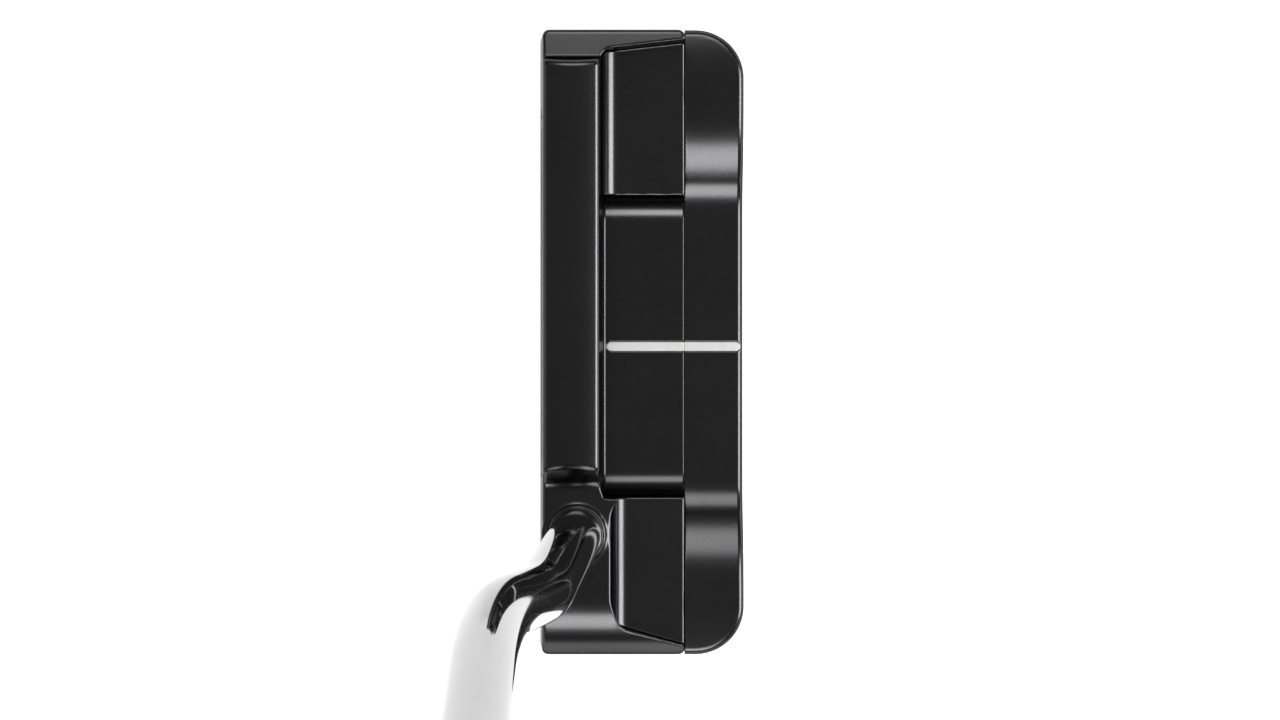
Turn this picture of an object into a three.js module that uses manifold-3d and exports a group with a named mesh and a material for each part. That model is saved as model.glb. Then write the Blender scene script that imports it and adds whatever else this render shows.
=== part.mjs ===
// A right-handed wide-blade mallet putter: milled head with a separate rear bar, double-bend steel shaft,
// pistol grip.
// Millimetres. +Z is up, the face looks along -Y, the toe is at -X and the heel and shaft are at +X.
// The origin is on the sole, under the middle of the head, and the club stands at address.

import * as THREE from 'three'
import { mergeVertices } from 'three/addons/utils/BufferGeometryUtils.js'
import Module from 'manifold-3d'

const wasm = await Module()
wasm.setup()

// ---------------------------------------------------------------- driving dimensions
// head outline
const TOE_X = -56.3
const TOE_TOP_X = -55.6 // the toe end leans in above TOE_LEAN_Z
const TOE_LEAN_Z = 12
const HEEL_X = 54.8
const REAR_Y = 18.1
const LEAD_Y = -18.4 // leading edge of the face
const LEAD_Z = 2.5
const LOFT = THREE.MathUtils.degToRad(3)
const REAR_CORNER_R = 8.6
const FRONT_CORNER_R = 1.2
const SOLE_FLAT_X = 34
const SOLE_END_RISE = 2.6

// levels
const TOP_Z = 25.6 // crest of the crowned topline
const TOP_EDGE_Z = 24.85 // and its two long edges
const DECK_Z = 21.8 // the lower deck that the shaft enters
const CAP_IN_Z = 23.2 // toe cap beside the topline
const CAP_OUT_Z = 21.6 // toe cap at the toe
const POCKET_FRONT_Z = 16.6
const POCKET_REAR_Z = 15.9
const CAVITY_Z = 8.6

// plan positions
const TOPLINE_TOE_X = -49.7
const TOPLINE_TOE_RUN = 1.2 // how far out the step down to the toe cap reaches
const TOPLINE_HEEL_X = 21.2
const TOPLINE_HEEL_RUN = 3.1 // and the step down to the deck
const BACK_WALL_Y = -7.3
const BLOCK_WALL_Y = -5.5
const WALL_DRAFT = 0.8
const CAVITY_WALL_Y = -6.9
const CAVITY_HALF = 26.8
const CAVITY_FILLET = 5
const HEEL_ROLL_X = 43.5
const HEEL_ROLL_R = 13

// seam and rear bar
const SEAM_Y = 7.6
const SEAM_GAP = 0.2
const BAR_Z = 16.2
const BAR_END_DROP = 1
const BAR_EDGE = 1.2
const DIP_START_X = 45.2
const DIP_CONVEX_R = 25.5
const DIP_CONCAVE_R = 11.2
const DIP_ANGLE = THREE.MathUtils.degToRad(37.5)

// alignment line
const LINE_WIDTH = 1.65
const LINE_DEPTH = 0.5
const LINE_FRONT_Y = -6.3
const LINE_REAR_Y = 17.0
const LINE_GAP = 0.1

// face insert
const INSERT = { x: -9, z: 12.6, length: 64, height: 15, depth: 3.2, corner: 3, gap: 0.15, pad: 0.5 }

// sole weights
const WEIGHT = { x: 39, y: -1.5, radius: 6, depth: 6.4, recess: 0.4, gap: 0.2, washer: 0.8, slot: 2.4 }

// rear-bar fasteners
const SCREW_XS = [-46.5, -37.5, 37.5, 46.5]
const SCREW = { z: 10.6, head: 2.7, headLength: 3, shank: 1.5, length: 15, gap: 0.25, hex: 1.25, recess: 1 }
const DOWEL = { x: 51, z: 10.6, radius: 1.5, length: 8, gap: 0.2 }

// shaft
const BASE = new THREE.Vector3(33.1, -11.4, DECK_Z)
const BEND_LOW = new THREE.Vector3(39.3, -15.5, 80)
const BEND_HIGH = new THREE.Vector3(39.1, -22.1, 128)
const UPPER_DIR = new THREE.Vector3(0.309, -0.003, 0.955).normalize()
const BEND_LOW_R = 111
const BEND_HIGH_R = 114
const CLUB_LENGTH = 863.6 // 34 in along the upper shaft from the ground to the butt
const TIP_R = 4.7
const TUBE_WALL = 0.6
const TIP_INSERTION = 11.5
const STEPS = { first: 330, pitch: 22, count: 11, rise: 0.25, ramp: 1.5 }
const SIDES = 20
const BORE_R = 5.1
const BORE_FLOOR = 13
const LIP_R = 5.5
const GLUE_GAP = 0.1

// grip
const GRIP_LENGTH = 267
const TAPE = { gap: 0.15, thick: 0.3 }
const GRIP_BORE_GAP = 0.15
const CAP_LENGTH = 4
const CAP_GAP = 0.3
const VENT_SCALE = 0.08 // the vent hole in the cap, as a share of its outline

// ---------------------------------------------------------------- solids
const ELEVATION = new THREE.Matrix4().set(1, 0, 0, 0, 0, 0, -1, 0, 0, 1, 0, 0, 0, 0, 0, 1)
const SIDE = new THREE.Matrix4().set(0, 0, 1, 0, 1, 0, 0, 0, 0, 1, 0, 0, 0, 0, 0, 1)

function solid(geometry) {
  const bare = geometry.clone()
  bare.deleteAttribute('normal')
  bare.deleteAttribute('uv')
  const merged = mergeVertices(bare, 1e-4)
  const vertProperties = new Float32Array(merged.attributes.position.array)
  const triVerts = new Uint32Array(merged.index.array)
  return new wasm.Manifold(new wasm.Mesh({ numProp: 3, vertProperties, triVerts }))
}

function geometryOf(shape) {
  const mesh = shape.getMesh()
  const geometry = new THREE.BufferGeometry()
  geometry.setAttribute('position', new THREE.BufferAttribute(mesh.vertProperties, 3))
  geometry.setIndex(new THREE.BufferAttribute(mesh.triVerts, 1))
  return geometry
}

function prism(points, length) {
  const shape = new THREE.Shape(points.map(([x, y]) => new THREE.Vector2(x, y)))
  return new THREE.ExtrudeGeometry(shape, { depth: length, bevelEnabled: false })
}

// points are (x, y), drawn up from z0 to z1
function planPrism(points, z0, z1) {
  return solid(prism(points, z1 - z0).translate(0, 0, z0))
}

// points are (x, z), drawn along y from y0 to y1
function elevationPrism(points, y0, y1) {
  return solid(prism(points, y1 - y0).applyMatrix4(ELEVATION).translate(0, y1, 0))
}

// points are (y, z), drawn along x from x0 to x1
function sidePrism(points, x0, x1) {
  return solid(prism(points, x1 - x0).applyMatrix4(SIDE).translate(x0, 0, 0))
}

function arc(cx, cy, radius, fromDeg, toDeg, steps) {
  const points = []
  for (let i = 0; i <= steps; i++) {
    const angle = THREE.MathUtils.degToRad(fromDeg + ((toDeg - fromDeg) * i) / steps)
    points.push([cx + radius * Math.cos(angle), cy + radius * Math.sin(angle)])
  }
  return points
}

function roundedRect(width, height, radius, steps) {
  const x = width / 2 - radius
  const y = height / 2 - radius
  return [
    ...arc(x, -y, radius, -90, 0, steps),
    ...arc(x, y, radius, 0, 90, steps),
    ...arc(-x, y, radius, 90, 180, steps),
    ...arc(-x, -y, radius, 180, 270, steps),
  ]
}

// a turned solid: profile is (radius, height) from the axis back to the axis, stood on `from` along `axis`
function turned(profile, from, axis, sides = 24) {
  const points = profile.map(([radius, height]) => new THREE.Vector2(radius, height))
  const geometry = new THREE.LatheGeometry(points, sides)
  const turn = new THREE.Quaternion().setFromUnitVectors(new THREE.Vector3(0, 1, 0), axis)
  return geometry.applyQuaternion(turn).translate(from.x, from.y, from.z)
}

function rod(radius, length, from, axis, sides = 24) {
  return solid(turned([[0, 0], [radius, 0], [radius, length], [0, length]], from, axis, sides))
}

// ---------------------------------------------------------------- the head's outline and its sections
function headPlan() {
  const r = REAR_CORNER_R
  const f = FRONT_CORNER_R
  return [
    ...arc(TOE_X + f, LEAD_Y - 1 + f, f, 180, 270, 3),
    ...arc(HEEL_X - f, LEAD_Y - 1 + f, f, 270, 360, 3),
    ...arc(HEEL_X - r, REAR_Y - r, r, 0, 90, 8),
    ...arc(TOE_X + r, REAR_Y - r, r, 90, 180, 8),
  ]
}

function soleCurve() {
  const points = []
  const steps = 4
  for (let i = 0; i <= steps; i++) {
    const k = i / steps
    points.push([TOE_X + (-SOLE_FLAT_X - TOE_X) * k, SOLE_END_RISE * (1 - k) ** 2])
  }
  for (let i = 0; i <= steps; i++) {
    const k = i / steps
    points.push([SOLE_FLAT_X + (HEEL_X - SOLE_FLAT_X) * k, SOLE_END_RISE * k ** 2])
  }
  return points
}

function bodyElevation() {
  const rollEnd = THREE.MathUtils.radToDeg(Math.acos((HEEL_X - HEEL_ROLL_X) / HEEL_ROLL_R))
  return [
    ...soleCurve(),
    ...arc(HEEL_ROLL_X, DECK_Z - HEEL_ROLL_R, HEEL_ROLL_R, rollEnd, 90, 6),
    [TOPLINE_HEEL_X + TOPLINE_HEEL_RUN, DECK_Z],
    [TOPLINE_HEEL_X, TOP_Z],
    [TOPLINE_TOE_X, TOP_Z],
    [TOPLINE_TOE_X - TOPLINE_TOE_RUN, CAP_IN_Z],
    [TOE_TOP_X, CAP_OUT_Z],
    [TOE_X, TOE_LEAN_Z],
  ]
}

function faceY(z) {
  return LEAD_Y + (z - LEAD_Z) * Math.tan(LOFT)
}

// the topline is crowned between the face and its back wall
function bodySide() {
  const front = faceY(TOP_EDGE_Z)
  const middle = (front + BACK_WALL_Y) / 2
  const half = (BACK_WALL_Y - front) / 2
  const sag = TOP_Z - TOP_EDGE_Z
  const radius = (half ** 2 + sag ** 2) / (2 * sag)
  const lean = THREE.MathUtils.radToDeg(Math.asin(half / radius))
  const crown = arc(middle, TOP_Z - radius, radius, 90 - lean, 90 + lean, 6)
  return [
    [-15.6, 0],
    [SEAM_Y - SEAM_GAP / 2, 0],
    [SEAM_Y - SEAM_GAP / 2, TOP_EDGE_Z - 0.2],
    ...crown,
    [LEAD_Y, LEAD_Z],
    [-17.6, 0.7],
  ]
}

// one shoulder pocket: a plan outline, with a drafted front wall and a floor that falls to the rear
function pocketCut(plan, wallY) {
  const top = TOP_Z + 2
  const rear = SEAM_Y + 1
  const side = [
    [wallY + WALL_DRAFT + 1.4, POCKET_FRONT_Z],
    [rear, POCKET_REAR_Z],
    [rear, top],
    [wallY - 0.2, top],
    [wallY + WALL_DRAFT, POCKET_FRONT_Z + 1.4],
  ]
  return planPrism(plan(wallY, rear), CAVITY_Z, top).intersect(sidePrism(side, TOE_X, HEEL_X))
}

// the toe pocket runs on over the cavity
function toePlan(wallY, rear) {
  return [[-51.9, wallY], [CAVITY_HALF, wallY], [CAVITY_HALF, rear], [-54.0, rear], [-52.5, wallY + 1.4]]
}

function heelPlan(wallY, rear) {
  return [[CAVITY_HALF - 1, wallY], [48.2, wallY], [50.0, wallY + 1.2], [53.3, rear], [CAVITY_HALF - 1, rear]]
}

function cavityProfile(top) {
  const r = CAVITY_FILLET
  const x = CAVITY_HALF
  return [
    [-x, top],
    ...arc(-x + r, CAVITY_Z + r, r, 180, 270, 5),
    ...arc(x - r, CAVITY_Z + r, r, 270, 360, 5),
    [x, top],
  ]
}

function cavityCut() {
  return elevationPrism(cavityProfile(TOP_Z), CAVITY_WALL_Y, SEAM_Y + 1)
}

// the slot for the white line, on the cavity floor and over the rear bar
function lineOutline(y0, y1, grow) {
  const half = LINE_WIDTH / 2 + grow
  return [[-half, y0], [half, y0], [half, y1], [-half, y1]]
}

// ---------------------------------------------------------------- face insert
const FACE_NORMAL = new THREE.Vector3(0, -Math.cos(LOFT), Math.sin(LOFT))

// a rounded plate lying in the face, from `near` to `far` millimetres behind it
function facePlate(grow, near, far) {
  const outline = roundedRect(INSERT.length + 2 * grow, INSERT.height + 2 * grow, INSERT.corner + grow, 5)
  const plate = prism(outline, far - near)
  const right = new THREE.Vector3(1, 0, 0)
  const inward = FACE_NORMAL.clone().negate()
  const up = new THREE.Vector3().crossVectors(inward, right)
  const frame = new THREE.Matrix4().makeBasis(right, up, inward)
  plate.applyMatrix4(frame)
  const start = new THREE.Vector3(INSERT.x, faceY(INSERT.z), INSERT.z).addScaledVector(inward, near)
  return solid(plate.translate(start.x, start.y, start.z))
}

// ---------------------------------------------------------------- weights and fasteners
const UP = new THREE.Vector3(0, 0, 1)
const REARWARD = new THREE.Vector3(0, 1, 0)
const FORWARD = new THREE.Vector3(0, -1, 0)

function weightPlace(x) {
  return new THREE.Vector3(x, WEIGHT.y, WEIGHT.recess)
}

function weightPocket(x) {
  const from = new THREE.Vector3(x, WEIGHT.y, -1)
  const depth = WEIGHT.depth + WEIGHT.washer + 2 * WEIGHT.gap + WEIGHT.recess + 1
  return rod(WEIGHT.radius + WEIGHT.gap, depth, from, UP)
}

function soleWeight(x) {
  const body = rod(WEIGHT.radius, WEIGHT.depth, weightPlace(x), UP)
  const driveFrom = weightPlace(x).add(new THREE.Vector3(0, 0, -1))
  return body.subtract(rod(WEIGHT.slot, 3, driveFrom, UP, 6))
}

function weightWasher(x) {
  const z = WEIGHT.recess + WEIGHT.depth + WEIGHT.gap
  const from = new THREE.Vector3(x, WEIGHT.y, z)
  const outer = WEIGHT.radius - 0.2
  const inner = outer - 2.2
  const ring = [[inner, 0], [outer, 0], [outer, WEIGHT.washer], [inner, WEIGHT.washer], [inner, 0]]
  return turned(ring, from, UP)
}

function screwSeat() {
  return REAR_Y - SCREW.recess
}

function screwHole(x) {
  const start = new THREE.Vector3(x, REAR_Y + 1, SCREW.z)
  const headDepth = SCREW.recess + SCREW.headLength + SCREW.gap + 1
  const head = rod(SCREW.head + SCREW.gap, headDepth, start, FORWARD)
  const depth = SCREW.recess + SCREW.length + 2 * SCREW.gap + 1
  return head.add(rod(SCREW.shank + SCREW.gap, depth, start, FORWARD))
}

function barScrew(x) {
  const start = new THREE.Vector3(x, screwSeat(), SCREW.z)
  const profile = [
    [0, 0],
    [SCREW.head - 0.3, 0],
    [SCREW.head, 0.3],
    [SCREW.head, SCREW.headLength],
    [SCREW.shank, SCREW.headLength],
    [SCREW.shank, SCREW.length - 0.8],
    [SCREW.shank - 0.6, SCREW.length],
    [0, SCREW.length],
  ]
  const drive = rod(SCREW.hex, 2.5, start.clone().add(new THREE.Vector3(0, 1, 0)), FORWARD, 6)
  return solid(turned(profile, start, FORWARD)).subtract(drive)
}

function dowelRod(x, grow) {
  const half = DOWEL.length / 2 + grow
  return rod(DOWEL.radius + grow, 2 * half, new THREE.Vector3(x, SEAM_Y - half, DOWEL.z), REARWARD)
}

// ---------------------------------------------------------------- head pieces
function shaftAxisLow() {
  return BEND_LOW.clone().sub(BASE).normalize()
}

function shaftBore() {
  const axis = shaftAxisLow()
  const floor = BASE.clone().addScaledVector(axis, -BORE_FLOOR)
  const profile = [
    [0, 0],
    [BORE_R, 0],
    [BORE_R, BORE_FLOOR - (LIP_R - BORE_R)],
    [LIP_R + 1, BORE_FLOOR + 1],
    [0, BORE_FLOOR + 1],
  ]
  return solid(turned(profile, floor, axis, SIDES))
}

function headBody() {
  let body = elevationPrism(bodyElevation(), LEAD_Y - 2, SEAM_Y)
  body = body.intersect(planPrism(headPlan(), -1, TOP_Z + 2))
  body = body.intersect(sidePrism(bodySide(), TOE_X - 1, HEEL_X + 1))
  const cuts = [
    pocketCut(toePlan, BACK_WALL_Y),
    pocketCut(heelPlan, BLOCK_WALL_Y),
    cavityCut(),
    facePlate(INSERT.gap, -1, INSERT.depth + INSERT.pad + 2 * INSERT.gap),
    shaftBore(),
    weightPocket(-WEIGHT.x),
    weightPocket(WEIGHT.x),
    planPrism(lineOutline(LINE_FRONT_Y, SEAM_Y, 0), CAVITY_Z - LINE_DEPTH, CAVITY_Z + 1),
    ...SCREW_XS.map(screwHole),
    dowelRod(-DOWEL.x, DOWEL.gap),
    dowelRod(DOWEL.x, DOWEL.gap),
  ]
  for (const cut of cuts) body = body.subtract(cut)
  return body
}

// half of the rear bar's top line, from the heel end in to the flat of the dip
function dipCurve() {
  const convexRun = DIP_CONVEX_R * Math.sin(DIP_ANGLE)
  const meetX = DIP_START_X - convexRun
  const floorX = meetX - DIP_CONCAVE_R * Math.sin(DIP_ANGLE)
  const turn = THREE.MathUtils.radToDeg(DIP_ANGLE)
  const drop = (DIP_CONVEX_R + DIP_CONCAVE_R) * (1 - Math.cos(DIP_ANGLE))
  const floorZ = BAR_Z - drop
  const low = arc(floorX, floorZ + DIP_CONCAVE_R, DIP_CONCAVE_R, -90, -90 + turn, 5)
  const high = arc(DIP_START_X, BAR_Z - DIP_CONVEX_R, DIP_CONVEX_R, 90 + turn, 90, 7)
  return [...low, ...high.slice(1)]
}

// the bar's top falls a little towards its ends, and their corners are broken
function barEnd(x) {
  const shoulder = BAR_Z - BAR_END_DROP
  return [[x - BAR_EDGE, shoulder], [x, shoulder - BAR_EDGE]]
}

function barElevation() {
  const half = dipCurve()
  const heelSide = [...half, ...barEnd(HEEL_X)]
  const toeSide = [...half, ...barEnd(-TOE_X)]
  return [...soleCurve(), ...heelSide.reverse(), ...toeSide.map(([x, z]) => [-x, z])]
}

function barSide() {
  const top = BAR_Z + 1
  return [
    [SEAM_Y + SEAM_GAP / 2, 0],
    [12.5, 0],
    [16.6, 1.4],
    [REAR_Y, 4],
    [REAR_Y, top],
    [SEAM_Y + SEAM_GAP / 2, top],
  ]
}

function rearBar() {
  let bar = elevationPrism(barElevation(), SEAM_Y, REAR_Y + 1)
  bar = bar.intersect(planPrism(headPlan(), -1, TOP_Z))
  bar = bar.intersect(sidePrism(barSide(), TOE_X - 1, HEEL_X + 1))
  const floorZ = dipCurve()[0][1]
  const cuts = [
    planPrism(lineOutline(SEAM_Y, LINE_REAR_Y, 0), floorZ - LINE_DEPTH, BAR_Z),
    ...SCREW_XS.map(screwHole),
    dowelRod(-DOWEL.x, DOWEL.gap),
    dowelRod(DOWEL.x, DOWEL.gap),
  ]
  for (const cut of cuts) bar = bar.subtract(cut)
  return bar
}

function lineFill(y0, y1, topZ) {
  const outline = lineOutline(y0 + LINE_GAP, y1 - LINE_GAP, -LINE_GAP)
  return planPrism(outline, topZ - LINE_DEPTH + LINE_GAP, topZ)
}

// ---------------------------------------------------------------- the shaft's centre line
function bendPoints(corner, before, after, radius, steps) {
  const turn = Math.acos(before.dot(after))
  const tangent = radius * Math.tan(turn / 2)
  const start = corner.clone().addScaledVector(before, -tangent)
  const inward = after.clone().addScaledVector(before, -before.dot(after)).normalize()
  const centre = start.clone().addScaledVector(inward, radius)
  const points = []
  for (let i = 0; i <= steps; i++) {
    const angle = (turn * i) / steps
    const point = centre.clone().addScaledVector(inward, -radius * Math.cos(angle))
    points.push(point.addScaledVector(before, radius * Math.sin(angle)))
  }
  return points
}

// the corners of a fine line from the tip to the butt, with the distance from the tip at each
function shaftLine() {
  const low = shaftAxisLow()
  const middle = BEND_HIGH.clone().sub(BEND_LOW).normalize()
  const tip = BASE.clone().addScaledVector(low, -TIP_INSERTION)
  const ground = BEND_HIGH.clone().addScaledVector(UPPER_DIR, -BEND_HIGH.z / UPPER_DIR.z)
  const butt = ground.clone().addScaledVector(UPPER_DIR, CLUB_LENGTH - CAP_LENGTH)
  const points = [
    tip,
    ...bendPoints(BEND_LOW, low, middle, BEND_LOW_R, 7),
    ...bendPoints(BEND_HIGH, middle, UPPER_DIR, BEND_HIGH_R, 8),
    butt,
  ]
  const lengths = [0]
  for (let i = 1; i < points.length; i++) lengths.push(lengths[i - 1] + points[i].distanceTo(points[i - 1]))
  return { points, lengths, total: lengths[lengths.length - 1] }
}

const LINE = shaftLine()

function placeOnLine(s) {
  let i = 1
  while (i < LINE.points.length - 1 && LINE.lengths[i] < s) i++
  const span = LINE.lengths[i] - LINE.lengths[i - 1]
  const point = LINE.points[i - 1].clone().lerp(LINE.points[i], (s - LINE.lengths[i - 1]) / span)
  return point
}

// a frame at each station, carried along the line so that the sections don't twist
function framesAlong(stations) {
  const across = new THREE.Vector3(1, 0, 0)
  return stations.map((s) => {
    const step = 0.05
    const before = placeOnLine(Math.max(0, s - step))
    const after = placeOnLine(Math.min(LINE.total, s + step))
    const along = after.sub(before).normalize()
    across.addScaledVector(along, -across.dot(along)).normalize()
    return { point: placeOnLine(s), across: across.clone(), up: along.clone().cross(across) }
  })
}

// joins rings of equal count into one closed skin; the last ring joins the first
function loftRings(rings) {
  const count = rings[0].length
  const positions = []
  for (const ring of rings) for (const p of ring) positions.push(p.x, p.y, p.z)
  const index = []
  for (let i = 0; i < rings.length; i++) {
    const here = i * count
    const next = ((i + 1) % rings.length) * count
    for (let j = 0; j < count; j++) {
      const k = (j + 1) % count
      index.push(here + j, here + k, next + k, here + j, next + k, next + j)
    }
  }
  const geometry = new THREE.BufferGeometry()
  geometry.setAttribute('position', new THREE.Float32BufferAttribute(positions, 3))
  geometry.setIndex(index)
  return geometry
}

function ringAt(frame, outline) {
  return outline.map(([x, y]) =>
    frame.point.clone().addScaledVector(frame.across, x).addScaledVector(frame.up, y))
}

function circle(radius) {
  return arc(0, 0, radius, 0, 360, SIDES).slice(0, SIDES)
}

// a sleeve on the line: stations with an outer outline, then back down the bore
function sleeve(stations, outerAt, innerAt) {
  const frames = framesAlong(stations)
  const outer = frames.map((frame, i) => ringAt(frame, outerAt(stations[i])))
  const inner = frames.map((frame, i) => ringAt(frame, innerAt(stations[i])))
  return loftRings([...outer, ...inner.reverse()])
}

// ---------------------------------------------------------------- shaft pieces
function tubeRadius(s) {
  let radius = TIP_R
  for (let i = 0; i < STEPS.count; i++) {
    const start = STEPS.first + i * STEPS.pitch
    radius += STEPS.rise * THREE.MathUtils.clamp((s - start) / STEPS.ramp, 0, 1)
  }
  return radius
}

function tubeStations() {
  const stations = [...LINE.lengths]
  for (let i = 0; i < STEPS.count; i++) {
    const start = STEPS.first + i * STEPS.pitch
    stations.push(start, start + STEPS.ramp)
  }
  return stations.sort((a, b) => a - b)
}

function shaftTube() {
  return sleeve(tubeStations(), (s) => circle(tubeRadius(s)), (s) => circle(tubeRadius(s) - TUBE_WALL))
}

function shaftEpoxy() {
  const axis = shaftAxisLow()
  const from = BASE.clone().addScaledVector(axis, -TIP_INSERTION)
  const inner = TIP_R + GLUE_GAP
  const outer = BORE_R - GLUE_GAP
  const lip = TIP_INSERTION - (LIP_R - BORE_R)
  const profile = [
    [inner, 0],
    [outer, 0],
    [outer, lip],
    [LIP_R - GLUE_GAP, TIP_INSERTION - GLUE_GAP],
    [inner, TIP_INSERTION + 0.4],
    [inner, 0],
  ]
  return turned(profile, from, axis, SIDES)
}

function tipPlug() {
  const axis = shaftAxisLow()
  const from = BASE.clone().addScaledVector(axis, 1 - TIP_INSERTION)
  const radius = TIP_R - TUBE_WALL - 0.2
  return turned([[0, 0], [radius, 0], [radius, 7], [radius - 0.8, 8], [0, 8]], from, axis, SIDES)
}

// ---------------------------------------------------------------- grip pieces
const BUTT_R = TIP_R + STEPS.count * STEPS.rise
const GRIP_START = LINE.total + CAP_LENGTH - GRIP_LENGTH

// the outline at k, from 0 at the mouth to 1 at the butt: round below, and a flat for the thumbs on top
function gripOutline(k) {
  const swell = THREE.MathUtils.smoothstep(k, 0.35, 0.8)
  const half = 9.9 + 2.6 * THREE.MathUtils.smoothstep(k, 0, 0.5)
  const below = 10.4 + 1.6 * k + 4.6 * swell
  const flat = 9.6 + 1.4 * k
  const points = []
  for (let i = 0; i < SIDES; i++) {
    const angle = (2 * Math.PI * i) / SIDES
    const c = Math.cos(angle)
    const s = Math.sin(angle)
    const power = c < 0 ? 0.6 : 0.9
    const reach = c < 0 ? flat : below
    points.push([reach * Math.sign(c) * Math.abs(c) ** power, half * Math.sign(s) * Math.abs(s) ** 0.9])
  }
  return points
}

function evenly(from, to, steps) {
  return Array.from({ length: steps + 1 }, (_, i) => from + ((to - from) * i) / steps)
}

function gripK(s) {
  return (s - GRIP_START) / GRIP_LENGTH
}

function gripTape() {
  const inner = BUTT_R + TAPE.gap
  const ends = [GRIP_START + 6, LINE.total - 1]
  return sleeve(ends, () => circle(inner + TAPE.thick), () => circle(inner))
}

function gripSleeve() {
  const bore = BUTT_R + TAPE.gap + TAPE.thick + GRIP_BORE_GAP
  const stations = evenly(GRIP_START, LINE.total, 14)
  return sleeve(stations, (s) => gripOutline(gripK(s)), () => circle(bore))
}

function gripCap() {
  const [frame] = framesAlong([LINE.total])
  const along = frame.across.clone().cross(frame.up)
  const layer = (height, scale) => {
    const outline = gripOutline(1).map(([x, y]) => [x * scale, y * scale])
    const moved = { ...frame, point: frame.point.clone().addScaledVector(along, height) }
    return ringAt(moved, outline)
  }
  return loftRings([
    layer(CAP_GAP, VENT_SCALE),
    layer(CAP_GAP, 1),
    layer(CAP_LENGTH - 1.2, 0.98),
    layer(CAP_LENGTH, 0.86),
    layer(CAP_LENGTH, VENT_SCALE),
  ])
}

// ---------------------------------------------------------------- materials
function finish(color, roughness, metalness) {
  return new THREE.MeshStandardMaterial({ color, roughness, metalness })
}

const BLACK = finish(0x1d1e20, 0.38, 0.75)
const BAR_BLACK = finish(0x222326, 0.36, 0.75)
const WHITE = finish(0xf2f2ee, 0.5, 0)
const CHROME = finish(0xc9cbce, 0.1, 1)
const STEEL = finish(0x8d9094, 0.3, 1)
const DARK_STEEL = finish(0x3a3b3e, 0.4, 0.9)
const POLYMER = finish(0x2b2c2f, 0.6, 0)
const ADHESIVE = finish(0x121212, 0.5, 0)
const TAPE_PAPER = finish(0xd8cfae, 0.9, 0)
const RUBBER = finish(0x161616, 0.85, 0)

// ---------------------------------------------------------------- assembly
const putter = new THREE.Group()

function add(name, shape, material) {
  const geometry = shape.isBufferGeometry ? shape : geometryOf(shape)
  const mesh = new THREE.Mesh(geometry, material)
  mesh.name = name
  putter.add(mesh)
}

const head = [
  ['head_body', headBody(), BLACK],
  ['rear_bar', rearBar(), BAR_BLACK],
  ['face_insert', facePlate(0, 0, INSERT.depth), POLYMER],
  ['insert_pad', facePlate(0, INSERT.depth + INSERT.gap, INSERT.depth + INSERT.gap + INSERT.pad), ADHESIVE],
  ['alignment_line_front', lineFill(LINE_FRONT_Y, SEAM_Y, CAVITY_Z), WHITE],
  ['alignment_line_rear', lineFill(SEAM_Y + SEAM_GAP, LINE_REAR_Y, dipCurve()[0][1]), WHITE],
  ['sole_weight_toe', soleWeight(-WEIGHT.x), STEEL],
  ['sole_weight_heel', soleWeight(WEIGHT.x), STEEL],
  ['weight_washer_toe', weightWasher(-WEIGHT.x), POLYMER],
  ['weight_washer_heel', weightWasher(WEIGHT.x), POLYMER],
  ['rear_bar_dowel_toe', dowelRod(-DOWEL.x, 0), STEEL],
  ['rear_bar_dowel_heel', dowelRod(DOWEL.x, 0), STEEL],
]
for (const [name, shape, material] of head) add(name, shape, material)
SCREW_XS.forEach((x, i) => add(`rear_bar_screw_${i + 1}`, barScrew(x), DARK_STEEL))

add('shaft', shaftTube(), CHROME)
add('shaft_epoxy', shaftEpoxy(), ADHESIVE)
add('shaft_tip_plug', tipPlug(), POLYMER)
add('grip_tape', gripTape(), TAPE_PAPER)
add('grip_sleeve', gripSleeve(), RUBBER)
add('grip_cap', gripCap(), RUBBER)

export default putter
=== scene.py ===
"""A right-handed wide-blade mallet putter, standing at address on a pale floor and seen from above.

The head is milled from signed distance fields, so that every edge and inner corner has its real radius.
The fields and the outlines are in millimetres, in the row's frame; Blender's objects are in metres.
"""

import math

import bpy
import numpy as np
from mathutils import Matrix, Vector


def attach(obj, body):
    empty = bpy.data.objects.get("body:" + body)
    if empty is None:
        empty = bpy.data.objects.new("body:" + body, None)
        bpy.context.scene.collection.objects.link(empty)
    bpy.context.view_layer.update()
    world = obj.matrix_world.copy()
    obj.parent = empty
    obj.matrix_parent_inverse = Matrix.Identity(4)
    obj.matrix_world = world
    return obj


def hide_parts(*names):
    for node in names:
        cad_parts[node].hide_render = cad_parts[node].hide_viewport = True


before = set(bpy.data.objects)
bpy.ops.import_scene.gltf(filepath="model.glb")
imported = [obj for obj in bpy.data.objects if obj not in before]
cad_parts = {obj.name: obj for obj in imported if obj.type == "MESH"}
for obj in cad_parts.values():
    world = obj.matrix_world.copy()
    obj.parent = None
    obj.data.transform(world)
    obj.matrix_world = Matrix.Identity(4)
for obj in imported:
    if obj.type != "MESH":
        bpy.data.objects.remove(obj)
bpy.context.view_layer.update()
MM = 0.001

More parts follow.
